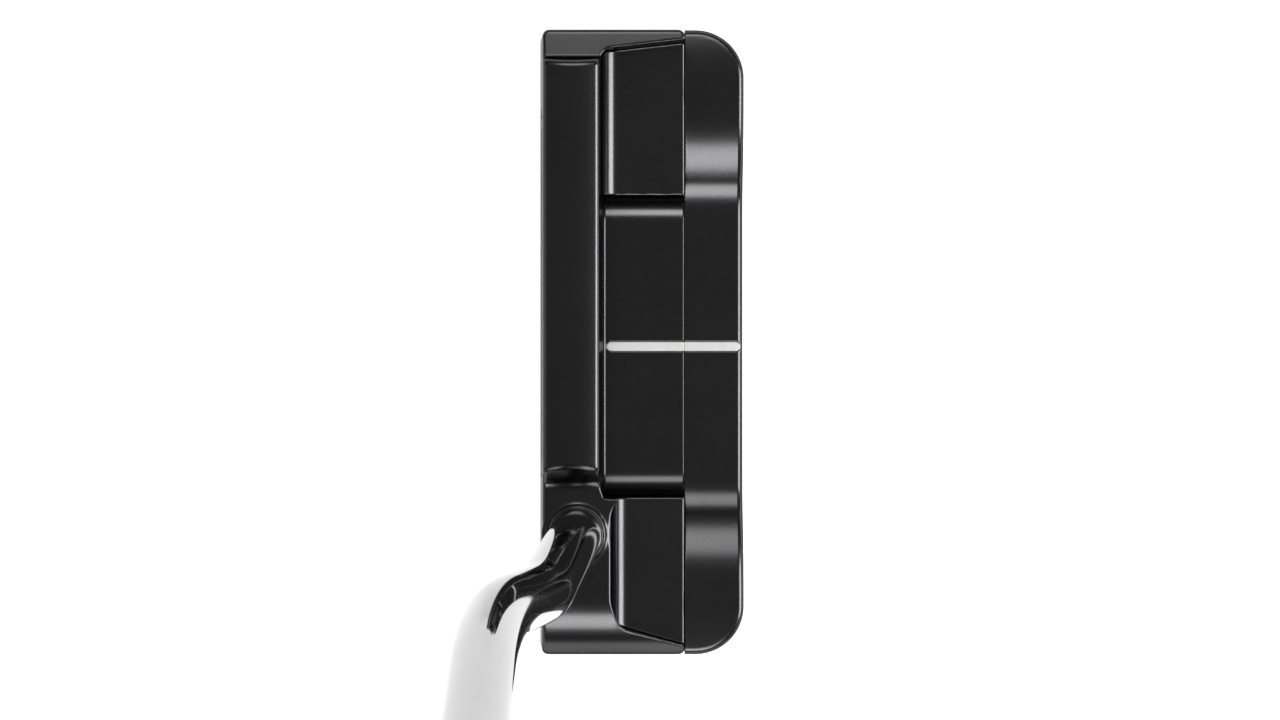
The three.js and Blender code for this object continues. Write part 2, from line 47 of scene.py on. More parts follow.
# ---------------------------------------------------------------- driving dimensions
# They are the CAD model's, but for the seam's gap, the draft of the pocket walls, the height of the toe cap's
# inner end, where the toe starts to lean in, and the rear end of the white line.
TOE_X, HEEL_X, REAR_Y = -56.3, 54.8, 18.1
TOE_TOP_X, TOE_LEAN_Z = -55.6, 11.0
LEAD_Y, LEAD_Z, LOFT = -18.4, 2.5, math.radians(3)
REAR_CORNER_R, FRONT_CORNER_R = 8.6, 1.2
SOLE_FLAT_X, SOLE_END_RISE = 34.0, 2.6
TOP_Z, TOP_EDGE_Z, DECK_Z, CAP_IN_Z, CAP_OUT_Z = 25.6, 24.85, 21.8, 22.65, 21.6
POCKET_FRONT_Z, POCKET_REAR_Z, CAVITY_Z = 16.6, 15.9, 8.6
TOPLINE_TOE_X, TOPLINE_TOE_RUN, TOPLINE_HEEL_X, TOPLINE_HEEL_RUN = -49.7, 1.2, 21.2, 3.1
BACK_WALL_Y, BLOCK_WALL_Y, WALL_DRAFT, CAVITY_WALL_Y = -7.3, -5.5, 0.4, -6.9
CAVITY_HALF, CAVITY_FILLET = 26.8, 5.0
HEEL_ROLL_X, HEEL_ROLL_R = 43.5, 13.0
SEAM_Y, SEAM_GAP = 7.6, 0.03
BAR_Z, BAR_END_DROP = 16.2, 1.0
DIP_START_X, DIP_CONVEX_R, DIP_CONCAVE_R, DIP_ANGLE = 45.2, 25.5, 11.2, math.radians(37.5)
LINE_WIDTH, LINE_DEPTH, LINE_FRONT_Y, LINE_REAR_Y = 1.65, 0.5, -6.3, 17.7
INSERT_X, INSERT_Z, INSERT_LENGTH, INSERT_HEIGHT = -9.0, 12.6, 64.0, 15.0
INSERT_DEPTH, INSERT_CORNER, INSERT_GAP = 3.2, 3.0, 0.15
WEIGHT_X, WEIGHT_Y, WEIGHT_R, WEIGHT_DEPTH, WEIGHT_RECESS = 39.0, -1.5, 6.0, 6.4, 0.4
DOWEL_X, DOWEL_Z, DOWEL_R, DOWEL_LENGTH = 51.0, 10.6, 1.5, 8.0
SCREW_XS, SCREW_Z, SCREW_HEAD_R, SCREW_RECESS = (-46.5, -37.5, 37.5, 46.5), 10.6, 2.7, 1.0
BASE = np.array([33.1, -11.4, DECK_Z])
BEND_LOW = np.array([39.3, -15.5, 80.0])
BEND_HIGH = np.array([39.1, -22.1, 128.0])
UPPER_DIR = np.array([0.309, -0.003, 0.955])
BEND_LOW_R, BEND_HIGH_R = 111.0, 114.0
CLUB_LENGTH, TIP_INSERTION = 863.6, 11.5
TIP_R, TUBE_WALL, BORE_R, BORE_FLOOR = 4.7, 0.6, 5.1, 13.0
FOOT_R, FOOT_FILLET = 6.2, 1.8
STEP_FIRST, STEP_PITCH, STEP_COUNT, STEP_RISE, STEP_RAMP = 330.0, 22.0, 11, 0.25, 1.5
GRIP_LENGTH, GRIP_BORE_R, CAP_LENGTH, CAP_GAP = 267.0, 8.05, 4.0, 0.3

# the shoulder pockets in plan, from the front wall's toe end round to the rear
TOE_POCKET = [(-52.0, -14), (CAVITY_HALF, -14), (CAVITY_HALF, 12), (-54.4, 12), (-52.3, -6)]
HEEL_POCKET = [(CAVITY_HALF - 1, -14), (47.0, -14), (49.6, -3.8), (54.2, 12), (CAVITY_HALF - 1, 12)]
TOE_POCKET_CORNER_R, HEEL_POCKET_CORNER_R, POCKET_FILLET = 2.0, 5.0, 3.0

# radii of edges
LEADING_EDGE_R, SEAM_EDGE_R, TOP_EDGE_R, SOLE_CORNER_R = 2.6, 0.2, 0.5, 1.0
CAP_STEP_R, DECK_STEP_R = 0.9, 0.55
TOE_POCKET_EDGE_R, TOE_POCKET_RIM_R, HEEL_POCKET_EDGE_R, CAVITY_EDGE_R = 0.3, 0.55, 0.4, 0.16
GROOVE_EDGE_R, BORE_EDGE_R, INSERT_EDGE_R, WEIGHT_EDGE_R = 0.1, 0.04, 0.15, 0.25
BAR_TOP_EDGE_R, BAR_SEAM_EDGE_R = 1.1, 0.08

# fits of the screws, pins, weights and the insert
SCREW_HOLE_R, SCREW_HOLE_DEPTH, SCREW_HEAD_DEPTH, SCREW_GAP = 1.75, 17.5, 5.25, 0.25
DOWEL_GAP, WEIGHT_GAP, WEIGHT_HOLE_TOP, INSERT_PAD_ROOM = 0.2, 0.2, 8.0, 0.8

FAR, BELOW = 60.0, -20.0  # well outside the head, and well under it


# ---------------------------------------------------------------- outlines and distance fields
def arc(cx, cy, radius, start, end, steps):
    """Points on an arc, angles in degrees."""
    angles = np.radians(np.linspace(start, end, steps + 1))
    return [(cx + radius * math.cos(a), cy + radius * math.sin(a)) for a in angles]


def filleted(corners, steps=10):
    """An outline from (x, y, radius) corners, each rounded to its radius."""
    points = []
    count = len(corners)
    for i, (x, y, radius) in enumerate(corners):
        here = np.array([x, y], float)
        before = np.array(corners[i - 1][:2]) - here
        after = np.array(corners[(i + 1) % count][:2]) - here
        before /= np.linalg.norm(before)
        after /= np.linalg.norm(after)
        half = math.acos(np.clip(before @ after, -1, 1)) / 2
        if radius == 0 or half > math.radians(89.5):
            points.append((x, y))
            continue
        middle = before + after
        centre = here + middle / np.linalg.norm(middle) * radius / math.sin(half)
        first = here + before * radius / math.tan(half) - centre
        last = here + after * radius / math.tan(half) - centre
        turn = math.atan2(first[0] * last[1] - first[1] * last[0], first @ last)
        for k in np.linspace(0, turn, steps + 1):
            c, s = math.cos(k), math.sin(k)
            points.append(tuple(centre + (first[0] * c - first[1] * s, first[0] * s + first[1] * c)))
    return points


def outline_field(points, x, y):
    """The signed distance from a closed outline, negative inside."""
    x, y = np.broadcast_arrays(x, y)
    nearest = np.full(x.shape, np.inf)
    inside = np.zeros(x.shape, bool)
    for (ax, ay), (bx, by) in zip(points, points[1:] + points[:1]):
        ex, ey = bx - ax, by - ay
        px, py = x - ax, y - ay
        along = np.clip((px * ex + py * ey) / max(ex * ex + ey * ey, 1e-12), 0, 1)
        nearest = np.minimum(nearest, (px - ex * along) ** 2 + (py - ey * along) ** 2)
        if ay != by:
            inside ^= ((ay > y) != (by > y)) & (px < ex * (y - ay) / ey)
    return np.where(inside, -1, 1) * np.sqrt(nearest)


def both(a, b, radius):
    """What is inside a and b, with the edge where they meet rounded."""
    u, v = np.maximum(a + radius, 0), np.maximum(b + radius, 0)
    return np.minimum(-radius, np.maximum(a, b)) + np.sqrt(u * u + v * v)


def without(a, b, radius):
    """What is inside a and outside b, with the edge rounded."""
    return both(a, -b, radius)


class Grid:
    """A block of space cut by lines that lie closer together near the marks."""

    GROWTH = 0.22  # how fast the spacing grows with the distance from a mark

    def __init__(self, x, y, z):
        self.lines = [self.spread(*span) for span in (x, y, z)]
        self.x = self.lines[0][:, None, None]
        self.y = self.lines[1][None, :, None]
        self.z = self.lines[2][None, None, :]

    def spread(self, low, high, marks, fine, coarse):
        marks = np.array(marks)
        lines = [low]
        while lines[-1] < high:
            from_mark = np.abs(marks - lines[-1]).min()
            lines.append(lines[-1] + min(coarse, fine + self.GROWTH * from_mark))
        return np.array(lines)


CELL_CORNERS = [(i, j, k) for i in (0, 1) for j in (0, 1) for k in (0, 1)]


def skin(grid, field):
    """The surface of a field as quads: one point in each cell that the surface crosses."""
    inside = field < 0
    shape = tuple(n - 1 for n in field.shape)

    def window(c):
        return tuple(slice(c[a], c[a] + shape[a]) for a in range(3))

    def place(c):
        return np.stack([grid.lines[a][cells[:, a] + c[a]] for a in range(3)], 1)

    count = sum(inside[window(c)].astype(np.int8) for c in CELL_CORNERS)
    cells = np.argwhere((count > 0) & (count < 8))
    number = np.full(shape, -1, np.int64)
    number[tuple(cells.T)] = np.arange(len(cells))
    values = {c: field[tuple((cells + c).T)] for c in CELL_CORNERS}
    total = np.zeros((len(cells), 3))
    crossings = np.zeros(len(cells))
    for c in CELL_CORNERS:
        for axis in range(3):
            if c[axis]:
                continue
            d = tuple(c[a] + (a == axis) for a in range(3))
            va, vb = values[c], values[d]
            hit = (va < 0) != (vb < 0)
            share = np.where(hit, va / np.where(hit, va - vb, 1), 0)[:, None]
            total += hit[:, None] * (place(c) * (1 - share) + place(d) * share)
            crossings += hit
    points = total / crossings[:, None]
    faces = []
    for axis in range(3):
        one, two = [a for a in range(3) if a != axis]
        low = [slice(None)] * 3
        high = [slice(None)] * 3
        low[axis], high[axis] = slice(0, -1), slice(1, None)
        for a in (one, two):
            low[a] = high[a] = slice(1, -1)
        start, end = inside[tuple(low)], inside[tuple(high)]
        edges = np.argwhere(start != end)
        leaving = start[tuple(edges.T)]
        ring = []
        for step_one, step_two in ((0, 0), (1, 0), (1, 1), (0, 1)):
            cell = edges.copy()
            cell[:, one] += step_one
            cell[:, two] += step_two
            ring.append(number[tuple(cell.T)])
        quad = np.stack(ring, 1)
        flip = leaving if axis != 1 else ~leaving
        quad = np.where(flip[:, None], quad, quad[:, ::-1])
        faces.append(quad)
    return points, np.concatenate(faces)


def sample(grid, field, points):
    """A field's values at points, between the grid's lines."""
    index, share = [], []
    for a in range(3):
        lines = grid.lines[a]
        i = np.clip(np.searchsorted(lines, points[:, a]) - 1, 0, len(lines) - 2)
        index.append(i)
        share.append((points[:, a] - lines[i]) / (lines[i + 1] - lines[i]))
    result = np.zeros(len(points))
    for c in CELL_CORNERS:
        weight = math.prod(share[a] if c[a] else 1 - share[a] for a in range(3))
        result += weight * field[tuple(index[a] + c[a] for a in range(3))]
    return result


# ---------------------------------------------------------------- meshes
def make_object(name, points, faces, scale=MM):
    """A mesh object from an array of points and an array of faces with equal corner counts."""
    mesh = bpy.data.meshes.new(name)
    faces = np.asarray(faces)
    mesh.vertices.add(len(points))
    mesh.vertices.foreach_set("co", (np.asarray(points) * scale).astype(np.float32).ravel())
    sides = faces.shape[1]
    mesh.loops.add(faces.size)
    mesh.loops.foreach_set("vertex_index", faces.astype(np.int32).ravel())
    mesh.polygons.add(len(faces))
    mesh.polygons.foreach_set("loop_start", np.arange(0, faces.size, sides, dtype=np.int32))
    mesh.update(calc_edges=True)
    mesh.polygons.foreach_set("use_smooth", np.ones(len(faces), bool))
    piece = bpy.data.objects.new(name, mesh)
    bpy.context.scene.collection.objects.link(piece)
    return piece


HEAD_TRIANGLES, INSERT_TRIANGLES, SMALL_TRIANGLES = 190000, 150000, 60000
SETTLE_ROUNDS, SETTLE_MOST, LEAST_SLOPE = 2, 0.06, 0.5
FLAT_BEND, EDGE_BEND, EDGE_START = 0.04, 4.0, 0.2  # how much the slope turns on a flat, and on a worn edge


def settled(grid, field, slopes, points):
    """The points moved onto the field's surface."""
    for _ in range(SETTLE_ROUNDS):
        value = sample(grid, field, points)
        slope = np.stack([sample(grid, part, points) for part in slopes], 1)
        size = np.maximum((slope**2).sum(1), LEAST_SLOPE**2)
        points = points - np.clip(value / size, -SETTLE_MOST, SETTLE_MOST)[:, None] * slope
    return points


def thinned(piece, flat, most):
    """Merges triangles where the skin is flat, until there are no more than `most`."""
    triangles = 2 * len(piece.data.polygons)
    if triangles <= most:
        return
    group = piece.vertex_groups.new(name="flat")
    group.add(np.flatnonzero(flat).tolist(), 1.0, "REPLACE")
    modifier = piece.modifiers.new("thin", "DECIMATE")
    modifier.ratio = most / triangles
    modifier.vertex_group = group.name
    graph = bpy.context.evaluated_depsgraph_get()
    mesh = bpy.data.meshes.new_from_object(piece.evaluated_get(graph))
    mesh.name = piece.name
    piece.modifiers.clear()
    piece.vertex_groups.clear()
    piece.data = mesh


def milled(name, grid, field, most=SMALL_TRIANGLES):
    """A piece whose skin is the field's surface, with the field's own slope as its shading."""
    field = field.astype(np.float64)
    slopes = np.gradient(field, *grid.lines)
    bends = sum(np.gradient(slopes[a], grid.lines[a], axis=a) for a in range(3))
    points, faces = skin(grid, field)
    points = settled(grid, field, slopes, points)
    piece = make_object(name, points, faces)
    thinned(piece, np.abs(sample(grid, bends, points)) < FLAT_BEND, most)
    mesh = piece.data
    places = np.zeros(len(mesh.vertices) * 3)
    mesh.vertices.foreach_get("co", places)
    places = places.reshape(-1, 3) / MM
    normals = np.stack([sample(grid, slope, places) for slope in slopes], 1)
    normals /= np.maximum(np.linalg.norm(normals, axis=1), 1e-9)[:, None]
    mesh.normals_split_custom_set_from_vertices(normals.tolist())
    edge = np.clip(sample(grid, bends, places) / EDGE_BEND - EDGE_START, 0, 1)
    mesh.attributes.new("edge", "FLOAT", "POINT").data.foreach_set("value", edge.astype(np.float32))
    return piece


# ---------------------------------------------------------------- the head
def unit(vector):
    return vector / np.linalg.norm(vector)


def smooth(low, high, value):
    """0 below low, 1 above high, and an even curve between."""
    k = np.clip((value - low) / (high - low), 0, 1)
    return k * k * (3 - 2 * k)


def face_y(z):
    return LEAD_Y + (z - LEAD_Z) * math.tan(LOFT)


def from_axis(grid, start, direction):
    """How far each place is along an axis from start, and how far from the axis."""
    d = unit(np.array(direction, float))
    dx, dy, dz = grid.x - start[0], grid.y - start[1], grid.z - start[2]
    along = dx * d[0] + dy * d[1] + dz * d[2]
    return along, np.sqrt(np.maximum(dx * dx + dy * dy + dz * dz - along * along, 0))


def rod_field(grid, start, direction, radius, low, high):
    """A round rod from low to high along a direction from start."""
    along, away = from_axis(grid, start, direction)
    return np.maximum(away - radius, np.maximum(low - along, along - high))


def hexagon_field(u, v, half):
    """A hexagonal bar, half its width across flats."""
    flats = [np.abs(u * math.cos(a) + v * math.sin(a)) for a in np.radians((0, 60, 120))]
    return np.maximum.reduce(flats) - half


def sole_outline():
    """What is above the sole and between the ends: flat in the middle, rising to the toe and the heel."""
    def rise(end):
        start = math.copysign(SOLE_FLAT_X, end)
        shares = np.linspace(0, 0.93, 14)
        return [(start + (end - start) * k, SOLE_END_RISE * k * k, 0) for k in shares]

    toe, heel = [(x, SOLE_END_RISE, SOLE_CORNER_R) for x in (TOE_X, HEEL_X)]
    return filleted([(TOE_X, FAR, 0), toe, *rise(TOE_X)[::-1], *rise(HEEL_X), heel, (HEEL_X, FAR, 0)])


def body_top_outline():
    """What is below the body's top, from the toe cap over the topline and the deck to the rolled heel."""
    cap_x = TOPLINE_TOE_X - TOPLINE_TOE_RUN
    cap_slope = (CAP_IN_Z - CAP_OUT_Z) / (cap_x - TOE_TOP_X)
    toe_step = [(-FAR, CAP_OUT_Z - cap_slope * (FAR + TOE_TOP_X), 0), (cap_x, CAP_IN_Z, 0.35)]
    toe_step.append((TOPLINE_TOE_X + TOPLINE_TOE_RUN, 2 * TOP_Z - CAP_IN_Z, 0))
    heel_step = [(TOPLINE_HEEL_X - TOPLINE_HEEL_RUN, 2 * TOP_Z - DECK_Z, 0)]
    heel_step.append((TOPLINE_HEEL_X + TOPLINE_HEEL_RUN, DECK_Z, 2.2))
    roll = arc(HEEL_ROLL_X, DECK_Z - HEEL_ROLL_R, HEEL_ROLL_R, 90, 10, 40)
    under = [(roll[-1][0], BELOW, 0), (-FAR, BELOW, 0)]
    return filleted(toe_step + heel_step + [(x, z, 0) for x, z in roll] + under)


def crown_outline():
    """What is below the topline's crown, seen from the end."""
    front = face_y(TOP_EDGE_Z)
    middle, half, sag = (front + BACK_WALL_Y) / 2, (BACK_WALL_Y - front) / 2, TOP_Z - TOP_EDGE_Z
    radius = (half**2 + sag**2) / (2 * sag)
    lean = math.degrees(math.asin(half / radius))
    crown = arc(middle, TOP_Z - radius, radius, 90 + lean, 90 - lean, 40)
    low = TOP_EDGE_Z - 0.4
    return [(-FAR, low)] + crown + [(FAR, low), (FAR, BELOW), (-FAR, BELOW)]


def shaft_foot(grid):
    """The metal that rises round the shaft in a fillet. The bore still has to be cut from it."""
    _, away = from_axis(grid, BASE, BEND_LOW - BASE)
    up = grid.z - BASE[2]
    hollow = FOOT_FILLET - np.hypot(FOOT_R - away, FOOT_FILLET - up)
    return np.maximum(np.maximum(away - FOOT_R, up - FOOT_FILLET), np.maximum(hollow, -1 - up))


def pocket_field(grid, plan, wall_y, corner):
    """A shoulder pocket: a drafted front wall, a fillet, and a floor that falls a little to the rear.

    Its upright corners are sharp at the floor, and open to a radius at the top.
    """
    open_z, rear_y, sharp = TOP_Z + 5.5, SEAM_Y + 2, 0.4
    floor = [(wall_y + WALL_DRAFT, POCKET_FRONT_Z, POCKET_FILLET), (rear_y, POCKET_REAR_Z, 0)]
    side = filleted([(wall_y - 0.6, open_z, 0), *floor, (rear_y, open_z, 0)])
    section = outline_field(side, grid.y, grid.z)
    corner_r = sharp + (corner - sharp) * smooth(POCKET_FRONT_Z + 0.8, DECK_Z + 0.4, grid.z)
    return both(outline_field(plan, grid.x, grid.y), section, corner_r)


def cavity_field(grid):
    x, r = CAVITY_HALF, CAVITY_FILLET
    walls = filleted([(-x, TOP_Z, 0), (-x, CAVITY_Z, r), (x, CAVITY_Z, r), (x, TOP_Z, 0)], 24)
    return both(outline_field(walls, grid.x, grid.z), CAVITY_WALL_Y - grid.y, 0.5)


def slot_field(grid, y0, y1, floor):
    """The groove of the white line, with round ends."""
    half = LINE_WIDTH / 2
    past = np.maximum(np.maximum(y0 + half - grid.y, grid.y - y1 + half), 0)
    return both(np.sqrt(grid.x**2 + past**2) - half, floor - grid.z, GROOVE_EDGE_R)


def fastener_holes(grid):
    """The holes of the four screws, each with its counterbore, and of the two pins."""
    holes = []
    for x in SCREW_XS:
        start = (x, REAR_Y + 1, SCREW_Z)
        for radius, depth in ((SCREW_HOLE_R, SCREW_HOLE_DEPTH), (SCREW_HEAD_R + SCREW_GAP, SCREW_HEAD_DEPTH)):
            holes.append(rod_field(grid, start, (0, -1, 0), radius, 0, depth))
    half = DOWEL_LENGTH / 2 + DOWEL_GAP
    for x in (-DOWEL_X, DOWEL_X):
        holes.append(rod_field(grid, (x, SEAM_Y, DOWEL_Z), (0, 1, 0), DOWEL_R + DOWEL_GAP, -half, half))
    return np.minimum.reduce(holes)


def insert_pocket(grid):
    """The recess of the face insert, square to the lofted face."""
    c, s = math.cos(LOFT), math.sin(LOFT)
    dy, dz = grid.y - face_y(INSERT_Z), grid.z - INSERT_Z
    depth, up = dy * c - dz * s, dy * s + dz * c
    half = INSERT_LENGTH / 2 + INSERT_GAP - INSERT_CORNER
    tall = INSERT_HEIGHT / 2 + INSERT_GAP - INSERT_CORNER
    past_x = np.maximum(np.abs(grid.x - INSERT_X) - half, 0)
    past_up = np.maximum(np.abs(up) - tall, 0)
    wall = np.sqrt(past_x**2 + past_up**2) - INSERT_CORNER
    inner = np.minimum(np.maximum(np.abs(grid.x - INSERT_X) - half, np.abs(up) - tall), 0)
    return np.maximum(wall + inner, np.maximum(-1 - depth, depth - INSERT_DEPTH - INSERT_PAD_ROOM))


def head_body():
    # places where the grid's lines lie close together; across the two ends they are evenly close
    close = 0.3
    middle = [-26.8, -24.5, -0.8, 0.8, 20.6, 21.4, 22.5, 23.6, 24.5, 26.8, 27.5, 28.5]
    round_shaft = [30, 32, 34, 36, 37.8, 39]
    toe_end, heel_end = np.arange(-54.8, -49, close), np.arange(46.5, HEEL_X, close)
    grid = Grid(
        (TOE_X - 1, HEEL_X + 0.9, [TOE_X, *toe_end, *middle, *round_shaft, *heel_end], 0.15, 1.1),
        (LEAD_Y - 1, SEAM_Y + 0.6, [-18.3, -17.2, -16, -12, -7.2, -6.4, -5.3, 7.5], 0.09, 0.23),
        (-0.8, TOP_Z + 0.9, [0.3, 8.6, 10, 16.2, 17.5, 21.6, 22.6, 24.7, 25.4], 0.15, 0.7),
    )
    lean = (TOE_TOP_X - TOE_X) * np.maximum((grid.z - TOE_LEAN_Z) / (CAP_OUT_Z - TOE_LEAN_Z), 0) ** 2
    ends = np.maximum(TOE_X + lean - grid.x, grid.x - HEEL_X)
    rear = [(SEAM_Y - SEAM_GAP / 2, 0, SEAM_EDGE_R), (SEAM_Y - SEAM_GAP / 2, FAR, 0)]
    front = [(face_y(FAR), FAR, 0), (face_y(0), 0, LEADING_EDGE_R)]
    body = both(ends, outline_field(filleted(rear + front, 16), grid.y, grid.z), FRONT_CORNER_R)
    body = np.maximum(body, outline_field(sole_outline(), grid.x, grid.z))
    crown = outline_field(crown_outline(), grid.y, grid.z)
    step_r = CAP_STEP_R + (DECK_STEP_R - CAP_STEP_R) * smooth(-10, 10, grid.x)
    top = both(outline_field(body_top_outline(), grid.x, grid.z), crown, step_r)
    body = np.minimum(both(body, top, TOP_EDGE_R), shaft_foot(grid))
    toe_plan, heel_plan = [filleted([(x, y, 0) for x, y in plan]) for plan in (TOE_POCKET, HEEL_POCKET)]
    toe_edge = TOE_POCKET_EDGE_R + (TOE_POCKET_RIM_R - TOE_POCKET_EDGE_R) * smooth(23.7, 24.4, grid.z)
    cuts = [
        (pocket_field(grid, toe_plan, BACK_WALL_Y, TOE_POCKET_CORNER_R), toe_edge),
        (pocket_field(grid, heel_plan, BLOCK_WALL_Y, HEEL_POCKET_CORNER_R), HEEL_POCKET_EDGE_R),
        (cavity_field(grid), CAVITY_EDGE_R),
        (slot_field(grid, LINE_FRONT_Y, 20, CAVITY_Z - LINE_DEPTH), GROOVE_EDGE_R),
        (rod_field(grid, BASE, BEND_LOW - BASE, BORE_R, -BORE_FLOOR, 6), BORE_EDGE_R),
        (insert_pocket(grid), INSERT_EDGE_R),
    ]
    for x in (-WEIGHT_X, WEIGHT_X):
        hole = rod_field(grid, (x, WEIGHT_Y, -1), (0, 0, 1), WEIGHT_R + WEIGHT_GAP, 0, WEIGHT_HOLE_TOP + 1)
        cuts.append((hole, WEIGHT_EDGE_R))
    cuts.append((fastener_holes(grid), 0.1))
    for cut, radius in cuts:
        body = without(body, cut, radius)
    return milled("head_body_milled", grid, body, HEAD_TRIANGLES)


def dip_outline():
    """What is below the rear bar's top: level ends that fall a little, and an S down to the dip."""
    turn = math.degrees(DIP_ANGLE)
    floor_z = BAR_Z - (DIP_CONVEX_R + DIP_CONCAVE_R) * (1 - math.cos(DIP_ANGLE))
    floor_x = DIP_START_X - (DIP_CONVEX_R + DIP_CONCAVE_R) * math.sin(DIP_ANGLE)
    low = arc(floor_x, floor_z + DIP_CONCAVE_R, DIP_CONCAVE_R, -90, turn - 90, 30)
    high = arc(DIP_START_X, BAR_Z - DIP_CONVEX_R, DIP_CONVEX_R, 90 + turn, 90, 40)
    reach = HEEL_X - DIP_START_X
    ends = [(DIP_START_X + reach * k, BAR_Z - BAR_END_DROP * k * k) for k in np.linspace(0.05, 1.4, 24)]
    half = low + high[1:] + ends
    return [(-x, z) for x, z in half[::-1]] + half + [(FAR, BELOW), (-FAR, BELOW)], floor_z


def rear_bar():
    top, floor_z = dip_outline()
    grid = Grid(
        (TOE_X - 1, HEEL_X + 0.9, [TOE_X, -46.5, -37.5, -0.8, 0.8, 37.5, 46.5, HEEL_X], 0.17, 0.3),
        (SEAM_Y - 0.6, REAR_Y + 0.9, [SEAM_Y, 16.8, REAR_Y], 0.05, 0.4),
        (-0.8, BAR_Z + 0.9, [0.3, floor_z, 12, 15.2, BAR_Z], 0.16, 0.3),
    )
    corners = [(x, REAR_Y, REAR_CORNER_R) for x in (HEEL_X, TOE_X)]
    plan = filleted([(TOE_X, BELOW, 0), (HEEL_X, BELOW, 0)] + corners, 24)
    under = [(BELOW, 0, 0), (12.5, 0, 4), (16.6, 1.4, 3), (REAR_Y, 4, 2), (REAR_Y, FAR, 0), (BELOW, FAR, 0)]
    bar = both(outline_field(plan, grid.x, grid.y), outline_field(top, grid.x, grid.z), BAR_TOP_EDGE_R)
    bar = np.maximum(bar, outline_field(filleted(under), grid.y, grid.z))
    bar = np.maximum(bar, outline_field(sole_outline(), grid.x, grid.z))
    bar = both(bar, SEAM_Y + SEAM_GAP / 2 - grid.y, BAR_SEAM_EDGE_R)
    bar = without(bar, slot_field(grid, 0, LINE_REAR_Y, floor_z - LINE_DEPTH), GROOVE_EDGE_R)
    bar = without(bar, fastener_holes(grid), 0.25)
    return milled("rear_bar_milled", grid, bar, HEAD_TRIANGLES)


def line_fill(name, y0, y1, floor_z, front_end):
    """White paint lying in the groove, a little below the metal and slightly crowned."""
    grid = Grid(
        (-1.1, 1.1, [-0.8, 0.8], 0.06, 0.2),
        (y0 - 0.3, y1 + 0.3, [y0, y1], 0.06, 0.5),
        (floor_z - LINE_DEPTH - 0.2, floor_z + 0.3, [floor_z, floor_z - LINE_DEPTH], 0.05, 0.2),
    )
    start, end = (y0, y1 + 5) if front_end else (y0 - 5, y1)
    half = LINE_WIDTH / 2 - 0.02
    past = np.maximum(np.maximum(start + half - grid.y, grid.y - end + half), 0)
    fill = np.sqrt(grid.x**2 + past**2) - half
    cut = grid.y - y1 if front_end else y0 - grid.y
    fill = np.maximum(fill, cut)
    top = grid.z - (floor_z - 0.03) + 0.06 * grid.x**2
    fill = both(fill, top, 0.08)
    return milled(name, grid, np.maximum(fill, floor_z - LINE_DEPTH + 0.02 - grid.z))


def face_insert():
    """The insert plate with shallow milled lines across it, built flat and then laid into the lofted face."""
    half, tall = INSERT_LENGTH / 2, INSERT_HEIGHT / 2
    grid = Grid(
        (-half - 0.5, half + 0.5, [-half, half], 0.16, 0.9),
        (-0.5, INSERT_DEPTH + 0.5, [0, INSERT_DEPTH], 0.09, 0.5),
        (-tall - 0.5, tall + 0.5, [-tall, tall], 0.15, 0.17),
    )
    corners = [(x, z, INSERT_CORNER) for x, z in ((-half, -tall), (half, -tall), (half, tall), (-half, tall))]
    plate = outline_field(filleted(corners, 16), grid.x, grid.z)
    plate = both(plate, np.maximum(-grid.y, grid.y - INSERT_DEPTH), 0.18)
    pitch, width, depth = 1.5, 0.34, 0.2
    from_line = np.abs((grid.z + pitch / 2) % pitch - pitch / 2) - width
    inside = np.maximum(np.abs(grid.x) - half + 2.5, np.abs(grid.z) - tall + 1.4)
    groove = both(np.maximum(from_line, inside), grid.y - depth, 0.05)
    piece = milled("face_insert_milled", grid, without(plate, groove, 0.1), INSERT_TRIANGLES)
    piece.rotation_euler = (-LOFT, 0, 0)
    piece.location = Vector((INSERT_X, face_y(INSERT_Z), INSERT_Z)) * MM
    return piece


def sole_weight(name, x):
    """A screw-in weight: a broken edge, a hexagon socket, and a turned groove round it."""
    r, d = WEIGHT_R, WEIGHT_DEPTH
    hex_half, hex_depth = 2.1, 2
    groove_r, groove_half, groove_depth = 4.5, 0.22, 0.25
    width = (-r - 0.4, r + 0.4, [-r, -4.6, -2.4, 2.4, 4.6, r], 0.12, 0.4)
    grid = Grid(width, width, (-0.3, d + 0.3, [0, 0.4, d], 0.1, 0.7))
    radial = np.sqrt(grid.x**2 + grid.y**2)
    weight = both(radial - r, np.maximum(-grid.z, grid.z - d), 0.35)
    weight = without(weight, np.maximum(hexagon_field(grid.x, grid.y, hex_half), grid.z - hex_depth), 0.15)
    weight = without(weight, np.maximum(np.abs(radial - groove_r) - groove_half, grid.z - groove_depth), 0.08)
    piece = milled(name, grid, weight)
    piece.location = Vector((x, WEIGHT_Y, WEIGHT_RECESS)) * MM
    return piece


def bar_screw(name, x):
    """A socket screw: knurled head, hexagon socket and a plain shank."""
    head_r, head_l, shank_r, length = SCREW_HEAD_R, 3.0, 1.5, 15.0
    hex_half, hex_depth = 1.25, 1.5
    width = (-3, 3, [-2.7, -1.3, 1.3, 2.7], 0.1, 0.2)
    grid = Grid(width, (-length - 0.3, 0.3, [0, -head_l, -length], 0.1, 0.7), width)
    radial = np.sqrt(grid.x**2 + grid.z**2)
    angle = np.arctan2(grid.z, grid.x)
    ridges, ridge = 36, 0.07
    knurled = radial - head_r + ridge + ridge * np.cos(ridges * angle)
    head = both(knurled, np.maximum(grid.y, -head_l - grid.y), 0.3)
    shank = both(radial - shank_r, np.maximum(grid.y + 1, -length - grid.y), 0.3)
    socket = np.maximum(hexagon_field(grid.x, grid.z, hex_half), -hex_depth - grid.y)
    screw = without(np.minimum(head, shank), socket, 0.1)
    piece = milled(name, grid, screw)
    piece.location = Vector((x, REAR_Y - SCREW_RECESS, SCREW_Z)) * MM
    return piece


